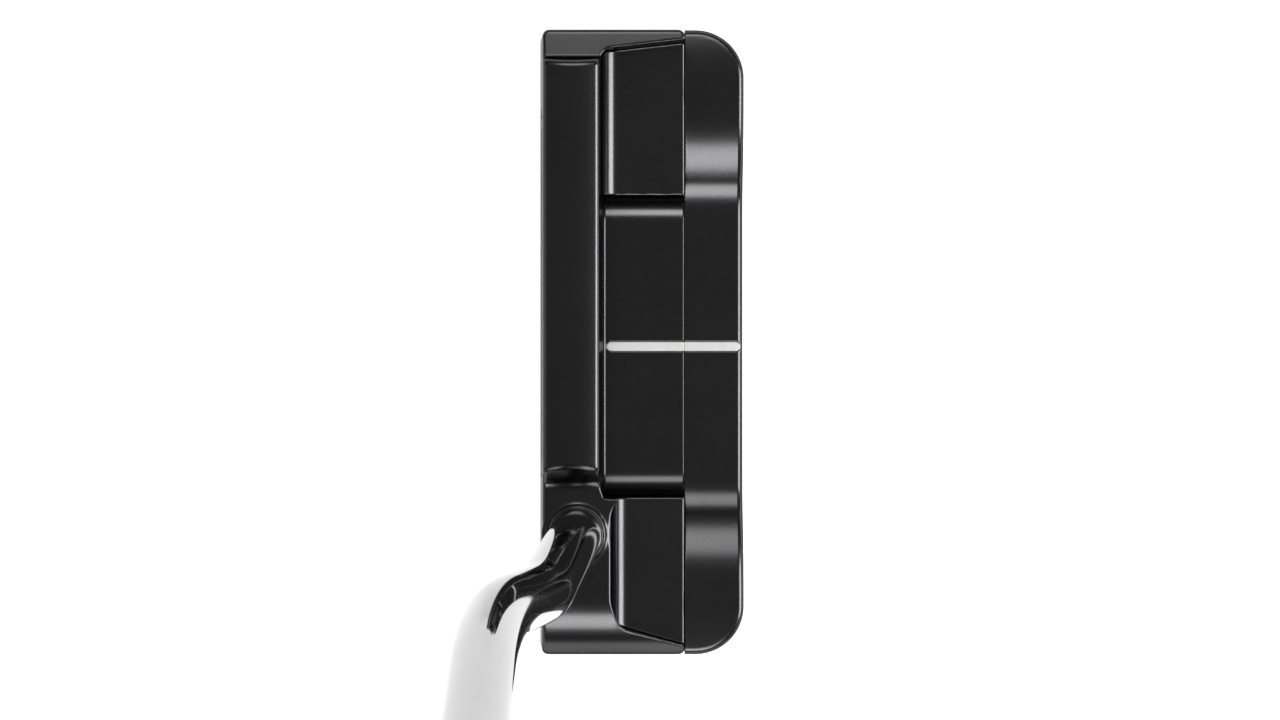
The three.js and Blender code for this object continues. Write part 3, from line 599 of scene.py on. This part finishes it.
# ---------------------------------------------------------------- the shaft's line
def bend(corner, before, after, radius):
    """Points round a bend of the given radius, half a millimetre apart."""
    turn = math.acos(before @ after)
    start = corner - before * radius * math.tan(turn / 2)
    inward = unit(after - before * (before @ after))
    angles = np.linspace(0, turn, int(turn * radius / 0.5))[:, None]
    return start + inward * radius * (1 - np.cos(angles)) + before * radius * np.sin(angles)


def shaft_line():
    """The centre line from the tip to the butt, and the distance from the tip at each of its points."""
    low, middle, upper = unit(BEND_LOW - BASE), unit(BEND_HIGH - BEND_LOW), unit(UPPER_DIR)
    tip = BASE - low * TIP_INSERTION
    ground = BEND_HIGH - upper * BEND_HIGH[2] / upper[2]
    butt = ground + upper * (CLUB_LENGTH - CAP_LENGTH)
    points = [tip[None]]
    points.append(bend(BEND_LOW, low, middle, BEND_LOW_R))
    points.append(bend(BEND_HIGH, middle, upper, BEND_HIGH_R))
    points = np.concatenate(points + [butt[None]])
    lengths = np.concatenate([[0], np.cumsum(np.linalg.norm(np.diff(points, axis=0), axis=1))])
    return points, lengths


LINE, LINE_LENGTHS = shaft_line()
LINE_TOTAL = LINE_LENGTHS[-1]


def on_line(s):
    return np.stack([np.interp(s, LINE_LENGTHS, LINE[:, a]) for a in range(3)], -1)


def line_frames(stations):
    """Centre, across and up at each station, carried along the line without twist."""
    across = np.array([1.0, 0, 0])
    frames = []
    for s in stations:
        along = unit(on_line(min(s + 0.3, LINE_TOTAL)) - on_line(max(s - 0.3, 0)))
        across = unit(across - along * (across @ along))
        frames.append((on_line(s), across, np.cross(along, across)))
    return frames


def loft(name, frames, outlines):
    """A skin through one outline per frame, with the last ring joined to the first."""
    rings = [c + o[:, :1] * a + o[:, 1:2] * u for (c, a, u), o in zip(frames, outlines)]
    count, sides = len(rings), len(outlines[0])
    here = np.arange(sides)
    after = (here + 1) % sides
    faces = []
    for i in range(count):
        low, high = i * sides, ((i + 1) % count) * sides
        faces.append(np.stack([low + here, low + after, high + after, high + here], 1))
    piece = make_object(name, np.concatenate(rings), np.concatenate(faces))
    piece.data.set_sharp_from_angle(angle=math.radians(35))
    return piece


def circle(radius, sides=96):
    angles = np.linspace(0, 2 * math.pi, sides, endpoint=False)
    return radius * np.stack([np.cos(angles), np.sin(angles)], 1)


def tube_radius(s):
    """The tube's outside radius: parallel at the tip, then stepped up towards the grip."""
    starts = STEP_FIRST + STEP_PITCH * np.arange(STEP_COUNT)
    return TIP_R + STEP_RISE * smooth(0, STEP_RAMP, s - starts).sum()


def shaft_tube():
    stations = list(LINE_LENGTHS)
    for i in range(STEP_COUNT):
        start = STEP_FIRST + i * STEP_PITCH
        stations += list(start + STEP_RAMP * np.linspace(-0.2, 1.2, 8))
    stations += [TIP_INSERTION * 0.5, TIP_INSERTION, 2 * TIP_INSERTION]
    stations = sorted(stations)
    radii = [tube_radius(s) for s in stations]
    frames = line_frames(stations)
    ends = [0.25] + [0] * (len(stations) - 2) + [0.25]
    outer = [circle(r - e) for r, e in zip(radii, ends)]
    inner = [circle(r - TUBE_WALL) for r in radii]
    return loft("shaft_tube", frames + frames[::-1], outer + inner[::-1])


def shaft_epoxy():
    """The glue sleeve in the bore. Its top carries on the fillet of the metal round it."""
    grid = Grid(
        (BASE[0] - 6.6, BASE[0] + 5.6, [BASE[0]], 0.13, 0.13),
        (BASE[1] - 5.6, BASE[1] + 6.4, [BASE[1]], 0.13, 0.13),
        (BASE[2] - TIP_INSERTION - 1.2, BASE[2] + 1.8, [BASE[2] + 0.6], 0.1, 0.5),
    )
    along, away = from_axis(grid, BASE, BEND_LOW - BASE)
    top = np.where(grid.z < DECK_Z, grid.z - DECK_Z, shaft_foot(grid))
    wall = np.maximum(away - BORE_R + 0.03, TIP_R + 0.02 - away)
    return milled("shaft_epoxy_bead", grid, np.maximum(np.maximum(wall, top), -TIP_INSERTION - along))


# ---------------------------------------------------------------- the grip
GRIP_START = LINE_TOTAL + CAP_LENGTH - GRIP_LENGTH
GRIP_SIDES = 168


def grip_outline(k):
    """The grip's section at k, 0 at the mouth and 1 at the butt: a flat for the thumbs, a pistol swell."""
    swell = smooth(0.35, 0.8, k)
    half = 9.9 + 2.6 * smooth(0, 0.5, k)
    below = 10.4 + 1.6 * k + 4.6 * swell
    flat = 9.6 + 1.4 * k
    angle = np.linspace(0, 2 * math.pi, GRIP_SIDES, endpoint=False)
    c, s = np.cos(angle), np.sin(angle)
    power = np.where(c < 0, 0.6, 0.9)
    reach = np.where(c < 0, flat, below)
    x = reach * np.sign(c) * np.abs(c) ** power
    return np.stack([x, half * np.sign(s) * np.abs(s) ** 0.9], 1)


def even_outline(points):
    """The same outline with its points evenly spaced, starting where it starts."""
    closed = np.concatenate([points, points[:1]])
    lengths = np.concatenate([[0], np.cumsum(np.linalg.norm(np.diff(closed, axis=0), axis=1))])
    places = np.linspace(0, lengths[-1], len(points), endpoint=False)
    return np.stack([np.interp(places, lengths, closed[:, a]) for a in (0, 1)], 1)


def outward(points):
    """Outward unit normals of an outline that runs anticlockwise."""
    tangent = np.roll(points, -1, 0) - np.roll(points, 1, 0)
    normal = np.stack([tangent[:, 1], -tangent[:, 0]], 1)
    return normal / np.linalg.norm(normal, axis=1)[:, None]


def grip_relief(s, share):
    """How far the rubber stands in or out: dimples round the back, short ribs on the thumb flat."""
    pitch, columns, rib_pitch = 4.2, 18, 2.4
    dimple_depth, rib_depth, border_depth = 0.5, 0.28, 0.35
    row = s / (pitch / 2)
    column = share * columns
    dimples = np.zeros(len(share))
    for shift in (0, 0.5):
        near_row = row - 2 * np.round((row - 2 * shift) / 2) - 2 * shift
        near_column = column - np.round(column - shift) - shift
        distance = np.hypot(near_row * pitch / 2, near_column * pitch)
        dimples = np.maximum(dimples, 1 - smooth(0.7, 1.35, distance))
    across = np.abs(share - 0.5)
    on_flat = 1 - smooth(0.105, 0.125, across)
    border = smooth(0.105, 0.113, across) * (1 - smooth(0.118, 0.126, across))
    rib = 0.5 - 0.5 * math.cos(2 * math.pi * s / rib_pitch)
    ribs = smooth(0.35, 0.9, rib) * (1 - smooth(0.075, 0.09, across))
    back = dimples * smooth(0.135, 0.15, across)
    return -dimple_depth * back - rib_depth * ribs * on_flat - border_depth * border


def grip_sleeve():
    """The rubber sleeve: rounded mouth, patterned middle, plain bands at both ends."""
    mouth_r, rim_r, groove_width, groove_depth = 1.1, 0.5, 0.55, 0.45
    mouth_groove, butt_groove = 8.5, 6
    stations = list(GRIP_START + np.array([0, 0.12, 0.4, 0.9, 1.6, 2.4]))
    stations += list(np.arange(GRIP_START + 3, LINE_TOTAL - 0.7, 0.56))
    stations += [LINE_TOTAL - 0.5, LINE_TOTAL - 0.2, LINE_TOTAL]
    share = np.linspace(0, 1, GRIP_SIDES, endpoint=False)
    outer = []
    for s in stations:
        from_mouth, from_butt = s - GRIP_START, LINE_TOTAL - s
        points = even_outline(grip_outline(from_mouth / GRIP_LENGTH))
        zone = smooth(11, 12.5, from_mouth) * smooth(9, 10.5, from_butt)
        groove = math.exp(-(((from_mouth - mouth_groove) / groove_width) ** 2))
        groove += math.exp(-(((from_butt - butt_groove) / groove_width) ** 2))
        push = grip_relief(from_mouth, share) * zone - groove_depth * groove
        lip = mouth_r - math.sqrt(max(mouth_r**2 - max(mouth_r - from_mouth, 0) ** 2, 0))
        rim = rim_r - math.sqrt(max(rim_r**2 - max(rim_r - from_butt, 0) ** 2, 0))
        outer.append(points + outward(points) * (push - lip - rim)[:, None])
    inner_at = [LINE_TOTAL, GRIP_START + 1.5, GRIP_START + 0.4, GRIP_START]
    frames = line_frames(stations)
    inner_frames = line_frames(inner_at[::-1])[::-1]
    inner = [circle(GRIP_BORE_R + extra, GRIP_SIDES) for extra in (0, 0, 0.1, 0.45)]
    return loft("grip_rubber_sleeve", frames + inner_frames, outer + inner)


def grip_end_cap():
    """The moulded cap: a rounded edge, one turned groove, and the vent hole that lets air out on fitting."""
    (centre, across, up), = line_frames([LINE_TOTAL])
    along = np.cross(across, up)
    outline = even_outline(grip_outline(1))
    vent = circle(1.0, GRIP_SIDES)
    shoulder = CAP_LENGTH - 1.7
    layers = [(CAP_GAP, 0.0), (CAP_GAP + 0.01, 0.985), (CAP_GAP + 0.2, 1.0), (shoulder, 1.0)]
    layers += [(shoulder + 1.3 * math.sin(a), 1 - 0.1 * (1 - math.cos(a))) for a in np.linspace(0.2, 1.5, 8)]
    groove = [(0.38, 0.80), (0.62, 0.775), (0.62, 0.745), (0.34, 0.72)]
    crown = [(0.22, 0.5), (0.15, 0.2), (0.15, 0.02), (0.4, 0.0)]
    layers += [(CAP_LENGTH - down, share) for down, share in groove + crown]
    frames = [(centre + along * height, across, up) for height, _ in layers]
    outlines = [vent + (outline - vent) * share for _, share in layers]
    return loft("grip_end_cap", frames, outlines)


# ---------------------------------------------------------------- finishes
class Finish:
    """A material with one principled shader, and short ways to wire textures into it."""

    def __init__(self, name, colour, metallic, roughness, **more):
        self.material = bpy.data.materials.new(name)
        self.material.use_nodes = True
        self.material.diffuse_color = (*colour, 1)
        self.tree = self.material.node_tree
        self.shader = self.tree.nodes["Principled BSDF"]
        self.place = self.node("ShaderNodeTexCoord").outputs["Object"]
        self.height = None
        self.set(self.shader, {"Base Color": (*colour, 1), "Metallic": metallic, "Roughness": roughness})
        self.set(self.shader, more)

    @staticmethod
    def set(node, values):
        for key, value in values.items():
            node.inputs[key].default_value = value

    def node(self, kind, values=(), **settings):
        node = self.tree.nodes.new(kind)
        for key, value in settings.items():
            setattr(node, key, value)
        self.set(node, dict(values))
        return node

    def join(self, output, target):
        self.tree.links.new(output, target)

    def stretched(self, factors):
        """The object's coordinates, scaled by a factor along each axis."""
        mapping = self.node("ShaderNodeMapping", {"Scale": factors})
        self.join(self.place, mapping.inputs["Vector"])
        return mapping.outputs["Vector"]

    def noise(self, per_metre, detail=2.0, rough=0.5, place=None):
        texture = self.node("ShaderNodeTexNoise", {"Scale": per_metre, "Detail": detail, "Roughness": rough})
        self.join(place or self.place, texture.inputs["Vector"])
        return texture.outputs["Fac"]

    def ranged(self, value, low, high, start=0.3, end=0.7):
        """value between start and end becomes low to high."""
        node = self.node("ShaderNodeMapRange")
        for index, number in zip((1, 2, 3, 4), (start, end, low, high)):
            node.inputs[index].default_value = number
        self.join(value, node.inputs[0])
        return node.outputs[0]

    def sum(self, *values):
        """The sum of several outputs or numbers."""
        total = values[0]
        for value in values[1:]:
            node = self.node("ShaderNodeMath", operation="ADD")
            for socket, part in zip(node.inputs, (total, value)):
                if isinstance(part, float):
                    socket.default_value = part
                else:
                    self.join(part, socket)
            total = node.outputs[0]
        return total

    def mixed(self, share, first, second):
        """A colour between first and second, each a colour or an output."""
        node = self.node("ShaderNodeMix", data_type="RGBA")
        self.join(share, node.inputs[0])
        for socket, part in ((node.inputs[6], first), (node.inputs[7], second)):
            if isinstance(part, tuple):
                socket.default_value = (*part, 1)
            else:
                self.join(part, socket)
        return node.outputs[2]

    def shade(self, source, first, second):
        """A colour that goes from first to second over a noise's usual range."""
        return self.mixed(self.ranged(source, 0, 1), first, second)

    def worn(self):
        """How sharply the surface turns, from 0 on flats to 1 on edges."""
        return self.node("ShaderNodeAttribute", attribute_name="edge").outputs["Fac"]

    def colour(self, output):
        self.join(output, self.shader.inputs["Base Color"])

    def roughness(self, output):
        self.join(output, self.shader.inputs["Roughness"])

    def bump(self, output, distance):
        """A height in metres of relief, laid on any relief given before it."""
        node = self.node("ShaderNodeBump", {"Strength": 1.0, "Distance": distance})
        self.join(output, node.inputs["Height"])
        if self.height:
            self.join(self.height, node.inputs["Normal"])
        self.height = node.outputs["Normal"]
        self.join(self.height, self.shader.inputs["Normal"])


def blasted_black(name, streaks):
    """Bead-blasted black finish: a dark metal with fine grain, faint tool streaks and lighter worn edges."""
    finish = Finish(name, (0.075, 0.075, 0.077), 1.0, 0.3, **{"Specular Tint": (0.25, 0.25, 0.25, 1)})
    cloud = finish.noise(70, 3)
    grain = finish.noise(3800, 2, 0.7)
    lines = finish.noise(1.0, 3, 0.6, finish.stretched((90, 1500, 1500)))
    tone = finish.shade(cloud, (0.068, 0.068, 0.07), (0.082, 0.082, 0.084))
    tone = finish.mixed(finish.ranged(grain, 0, 0.45), tone, (0.125, 0.125, 0.127))
    finish.colour(finish.mixed(finish.ranged(finish.worn(), 0, 0.12, 0, 1), tone, (0.14, 0.14, 0.142)))
    finish.roughness(finish.sum(finish.ranged(grain, 0.222, 0.24), finish.ranged(lines, -streaks, streaks)))
    finish.bump(finish.noise(2600, 3, 0.6), 0.000005)
    finish.bump(lines, 0.0003 * streaks)
    return finish.material


def insert_polymer():
    finish = Finish("insert polymer", (0.035, 0.035, 0.038), 0.0, 0.45, **{"Specular IOR Level": 0.5})
    speckle = finish.noise(1500, 4, 0.7)
    finish.colour(finish.shade(speckle, (0.026, 0.026, 0.03), (0.052, 0.052, 0.056)))
    finish.roughness(finish.ranged(finish.noise(700), 0.38, 0.55))
    finish.bump(speckle, 0.00001)
    return finish.material


def white_paint():
    coat = {"Coat Weight": 0.3, "Coat Roughness": 0.15}
    finish = Finish("white paint", (0.82, 0.82, 0.81), 0.0, 0.32, **coat)
    flow = finish.noise(500, 3)
    finish.colour(finish.shade(flow, (0.8, 0.8, 0.79), (0.85, 0.85, 0.84)))
    finish.roughness(finish.ranged(finish.noise(2200, 2), 0.26, 0.42))
    finish.bump(flow, 0.000015)
    return finish.material


def chrome():
    finish = Finish("polished chrome", (0.42, 0.42, 0.42), 1.0, 0.05)
    haze = finish.noise(160, 4, 0.6)
    lines = finish.noise(1.0, 4, 0.7, finish.stretched((2600, 2600, 60)))
    finish.colour(finish.shade(haze, (0.412, 0.415, 0.415), (0.432, 0.435, 0.432)))
    finish.roughness(finish.sum(finish.ranged(haze, 0.03, 0.04), finish.ranged(lines, 0, 0.03)))
    finish.bump(lines, 0.0000006)
    return finish.material


def turned_steel():
    """Stainless steel with turning marks round the piece's own vertical axis."""
    finish = Finish("turned steel", (0.62, 0.61, 0.6), 1.0, 0.24)
    wave = finish.node("ShaderNodeTexWave", {"Scale": 900.0, "Distortion": 0.6, "Detail": 2.0})
    wave.wave_type, wave.rings_direction = "RINGS", "Z"
    finish.join(finish.place, wave.inputs["Vector"])
    marks = wave.outputs["Fac"]
    haze = finish.ranged(finish.noise(900), 0, 0.06)
    finish.roughness(finish.sum(finish.ranged(marks, 0.16, 0.3, 0, 1), haze))
    finish.colour(finish.shade(finish.noise(240, 4), (0.54, 0.53, 0.52), (0.66, 0.65, 0.64)))
    finish.bump(marks, 0.000003)
    return finish.material


def oxide_steel():
    finish = Finish("black oxide steel", (0.03, 0.03, 0.034), 1.0, 0.36)
    mottle = finish.noise(1300, 4, 0.65)
    tone = finish.shade(mottle, (0.025, 0.025, 0.029), (0.06, 0.06, 0.064))
    finish.colour(finish.mixed(finish.ranged(finish.worn(), 0, 0.6, 0, 1), tone, (0.25, 0.25, 0.25)))
    finish.roughness(finish.ranged(mottle, 0.28, 0.46))
    finish.bump(mottle, 0.000008)
    return finish.material


def nylon():
    finish = Finish("natural nylon", (0.72, 0.7, 0.64), 0.0, 0.42, **{"Subsurface Weight": 0.2})
    cloud = finish.noise(600, 3)
    finish.colour(finish.shade(cloud, (0.68, 0.66, 0.59), (0.77, 0.75, 0.7)))
    finish.roughness(finish.ranged(cloud, 0.36, 0.5))
    finish.bump(finish.noise(2400), 0.00001)
    return finish.material


def adhesive():
    """Cured epoxy: dark, glossy and a little uneven."""
    coat = {"Coat Weight": 0.5, "Coat Roughness": 0.08}
    finish = Finish("cured epoxy", (0.05, 0.05, 0.05), 0.0, 0.2, **coat)
    flow = finish.noise(420, 3)
    finish.colour(finish.shade(flow, (0.035, 0.034, 0.033), (0.075, 0.073, 0.07)))
    finish.roughness(finish.ranged(flow, 0.14, 0.3))
    finish.bump(flow, 0.00012)
    return finish.material


def crepe_tape():
    """Double-sided tape: pale paper with fine creases across it."""
    finish = Finish("crepe tape", (0.66, 0.6, 0.47), 0.0, 0.7)
    crease = finish.noise(1.0, 4, 0.7, finish.stretched((300, 300, 1600)))
    finish.colour(finish.shade(crease, (0.58, 0.52, 0.39), (0.72, 0.67, 0.54)))
    finish.roughness(finish.ranged(finish.noise(900), 0.62, 0.8))
    finish.bump(crease, 0.00006)
    return finish.material


def rubber(name, tone, rough):
    """Black rubber: matt, finely grained, with a faint dusty bloom."""
    finish = Finish(name, tone, 0.0, rough, **{"Specular IOR Level": 0.3, "Sheen Weight": 0.02})
    cloud = finish.noise(45, 4)
    dust = finish.noise(2600, 3, 0.7)
    lighter = tuple(c * 1.7 for c in tone)
    shade = finish.shade(cloud, tone, lighter)
    finish.colour(finish.mixed(finish.ranged(dust, 0, 0.35), shade, tuple(c * 2.2 for c in tone)))
    finish.roughness(finish.ranged(cloud, rough - 0.08, rough + 0.08))
    finish.bump(finish.noise(3400, 3, 0.6), 0.00003)
    return finish.material


FINISHES = {
    "head_black": blasted_black("blasted black", 0.004),
    "bar_black": blasted_black("blasted black with streaks", 0.01),
    "insert_polymer": insert_polymer(),
    "white_paint": white_paint(),
    "chrome_shaft": chrome(),
    "bright_steel": turned_steel(),
    "black_steel": oxide_steel(),
    "nylon": nylon(),
    "adhesive": adhesive(),
    "tape": crepe_tape(),
    "grip_rubber": rubber("grip rubber", (0.009, 0.009, 0.0095), 0.6),
    "cap_rubber": rubber("cap rubber", (0.011, 0.011, 0.0115), 0.5),
}


# ---------------------------------------------------------------- the stage
CAMERA_X, CAMERA_Y, CAMERA_HEIGHT, LENS = 0.00243, -0.00032, 0.610, 94.16
FLOOR_SIZE = 14.0
# each light: side it stands on (degrees from +X), tilt from overhead, distance, width, height, brightness
SOFTBOXES = {
    "toe softbox": (180, 45, 1.6, 0.7, 0.64, 2.7),
    "heel softbox": (0, 50, 1.6, 0.7, 0.65, 5.2),
    "rear softbox": (90, 54, 1.8, 1.4, 0.9, 7.5),
    "front softbox": (270, 54, 1.8, 1.2, 0.45, 0.8),
}


def add_camera():
    data = bpy.data.cameras.new("overhead camera")
    data.lens = LENS
    data.clip_start = 0.01
    camera = bpy.data.objects.new("overhead camera", data)
    camera.location = (CAMERA_X, CAMERA_Y, CAMERA_HEIGHT)
    camera.rotation_euler = (0, 0, math.radians(90))
    bpy.context.scene.collection.objects.link(camera)
    bpy.context.scene.camera = camera


def add_softbox(name, side, tilt, distance, width, height, brightness):
    data = bpy.data.lights.new(name, "AREA")
    data.shape = "RECTANGLE"
    data.size, data.size_y = width, height
    data.energy = brightness * math.pi * width * height
    side, tilt = math.radians(side), math.radians(tilt)
    away = Vector((math.sin(tilt) * math.cos(side), math.sin(tilt) * math.sin(side), math.cos(tilt)))
    light = bpy.data.objects.new(name, data)
    light.location = away * distance
    light.rotation_euler = away.to_track_quat("Z", "Y").to_euler()
    light.visible_camera = False
    bpy.context.scene.collection.objects.link(light)


def add_world():
    """A dim studio, a little lighter overhead, whose backdrop is pale where the camera sees it."""
    world = bpy.data.worlds.new("studio")
    bpy.context.scene.world = world
    world.use_nodes = True
    nodes, links = world.node_tree.nodes, world.node_tree.links
    place = nodes.new("ShaderNodeTexCoord").outputs["Generated"]
    split = nodes.new("ShaderNodeSeparateXYZ")
    links.new(place, split.inputs[0])
    ramp = nodes.new("ShaderNodeValToRGB")
    for element, position, level in zip(ramp.color_ramp.elements, (0.15, 0.85), (0.05, 0.165)):
        element.position, element.color = position, (level, level, level, 1)
    links.new(split.outputs["Z"], ramp.inputs[0])
    seen = nodes.new("ShaderNodeMix")
    seen.data_type = "RGBA"
    links.new(nodes.new("ShaderNodeLightPath").outputs["Is Camera Ray"], seen.inputs[0])
    links.new(ramp.outputs[0], seen.inputs[6])
    seen.inputs[7].default_value = (0.88, 0.88, 0.88, 1)
    links.new(seen.outputs[2], nodes["Background"].inputs["Color"])


def add_floor():
    half = FLOOR_SIZE / 2
    corners = [(-half, -half, 0), (half, -half, 0), (half, half, 0), (-half, half, 0)]
    floor = make_object("floor", np.array(corners), [[0, 1, 2, 3]], 1.0)
    finish = Finish("pale floor", (0.6, 0.6, 0.6), 0.0, 0.9, **{"Emission Strength": 0.85})
    finish.set(finish.shader, {"Emission Color": (1, 1, 1, 1)})
    finish.colour(finish.shade(finish.noise(3, 2), (0.59, 0.59, 0.59), (0.61, 0.61, 0.61)))
    floor.data.materials.append(finish.material)


# ---------------------------------------------------------------- the putter
def stand_for(piece, slot, node):
    """Gives a piece its finish, and shows it instead of its CAD node."""
    piece.data.materials.clear()
    piece.data.materials.append(FINISHES[slot])
    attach(piece, "root")
    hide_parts(node)


def build_putter():
    _, dip_floor = dip_outline()
    stand_for(head_body(), "head_black", "head_body")
    stand_for(rear_bar(), "bar_black", "rear_bar")
    stand_for(face_insert(), "insert_polymer", "face_insert")
    front_line = line_fill("line_paint_front", LINE_FRONT_Y, SEAM_Y - SEAM_GAP / 2, CAVITY_Z, True)
    rear_line = line_fill("line_paint_rear", SEAM_Y + SEAM_GAP / 2, LINE_REAR_Y, dip_floor, False)
    stand_for(front_line, "white_paint", "alignment_line_front")
    stand_for(rear_line, "white_paint", "alignment_line_rear")
    for end, x in (("toe", -WEIGHT_X), ("heel", WEIGHT_X)):
        stand_for(sole_weight(f"turned_weight_{end}", x), "bright_steel", f"sole_weight_{end}")
    for i, x in enumerate(SCREW_XS, 1):
        stand_for(bar_screw(f"socket_screw_{i}", x), "black_steel", f"rear_bar_screw_{i}")
    stand_for(shaft_tube(), "chrome_shaft", "shaft")
    stand_for(shaft_epoxy(), "adhesive", "shaft_epoxy")
    stand_for(grip_sleeve(), "grip_rubber", "grip_sleeve")
    stand_for(grip_end_cap(), "cap_rubber", "grip_cap")


def finish_hidden_nodes():
    """The pieces kept from the CAD model, inside the head and under the grip, get their finishes."""
    slots = {"insert_pad": "adhesive", "shaft_tip_plug": "nylon", "grip_tape": "tape"}
    for end in ("toe", "heel"):
        slots[f"weight_washer_{end}"] = "nylon"
        slots[f"rear_bar_dowel_{end}"] = "bright_steel"
    for node, slot in slots.items():
        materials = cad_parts[node].data.materials
        materials.clear()
        materials.append(FINISHES[slot])


add_camera()
add_world()
for softbox, where in SOFTBOXES.items():
    add_softbox(softbox, *where)
add_floor()
build_putter()
finish_hidden_nodes()
bpy.context.scene.view_settings.view_transform = "Standard"
bpy.context.view_layer.update()
